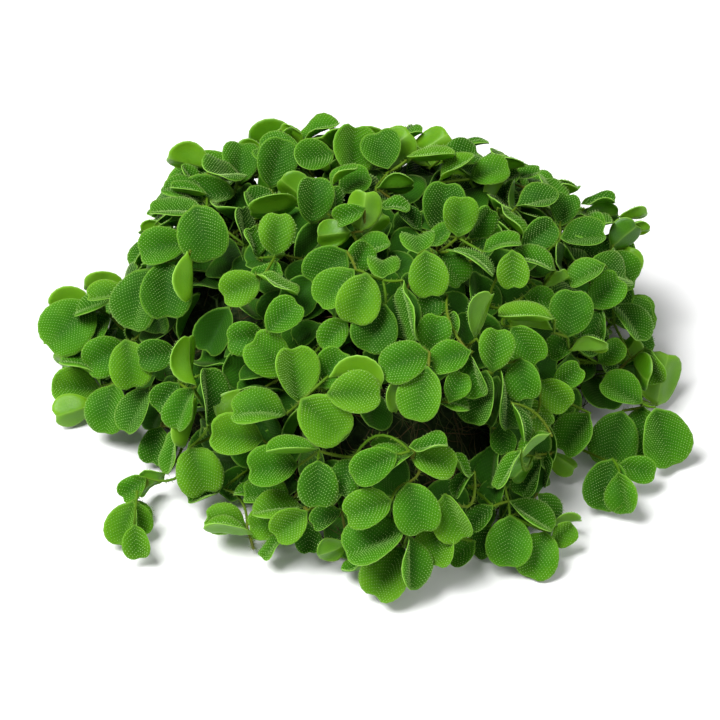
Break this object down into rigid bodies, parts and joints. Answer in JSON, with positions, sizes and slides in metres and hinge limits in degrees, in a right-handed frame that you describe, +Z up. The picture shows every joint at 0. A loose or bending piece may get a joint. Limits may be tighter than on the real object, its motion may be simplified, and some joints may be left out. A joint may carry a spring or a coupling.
{
  "type": "water spangles",
  "caption": "Heaped clump of small floating ferns with round, folded, hairy leaves on branching rhizomes, resting on its matted roots.",
  "frame": {"origin": "centre of the clump's flat underside, on the surface it rests on", "axes": "+Z up; +X along the clump's widest extent, to the right in the picture; +Y away from the side that the picture shows"},
  "size_m": [0.1556, 0.1433, 0.0596],
  "materials": {
    "leaf_green": null,
    "root_brown": null
  },
  "bodies": {
    "root": {"plant_01": "leaf_green", "plant_02": "leaf_green", "plant_03": "leaf_green", "plant_04": "leaf_green", "plant_05": "leaf_green", "plant_06": "leaf_green", "plant_07": "leaf_green", "plant_08": "leaf_green", "plant_09": "leaf_green", "plant_10": "leaf_green", "plant_11": "leaf_green", "plant_12": "leaf_green", "plant_13": "leaf_green", "plant_14": "leaf_green", "plant_15": "leaf_green", "plant_16": "leaf_green", "plant_17": "leaf_green", "plant_18": "leaf_green", "plant_19": "leaf_green", "plant_20": "leaf_green", "plant_21": "leaf_green", "plant_22": "leaf_green", "plant_23": "leaf_green", "plant_24": "leaf_green", "plant_25": "leaf_green", "plant_26": "leaf_green", "plant_27": "leaf_green", "plant_28": "leaf_green", "plant_29": "leaf_green", "plant_30": "leaf_green", "plant_31": "leaf_green", "plant_32": "leaf_green", "plant_33": "leaf_green", "plant_34": "leaf_green", "plant_35": "leaf_green", "plant_36": "leaf_green", "plant_37": "leaf_green", "plant_38": "leaf_green", "plant_39": "leaf_green", "plant_40": "leaf_green", "plant_41": "leaf_green", "plant_42": "leaf_green", "plant_43": "leaf_green", "plant_44": "leaf_green", "plant_45": "leaf_green", "plant_46": "leaf_green", "plant_47": "leaf_green", "plant_48": "leaf_green", "plant_49": "leaf_green", "plant_50": "leaf_green", "plant_51": "leaf_green", "plant_52": "leaf_green", "plant_53": "leaf_green", "plant_54": "leaf_green", "plant_55": "leaf_green", "plant_56": "leaf_green", "root_mat": "root_brown"}
  },
  "joints": []
}
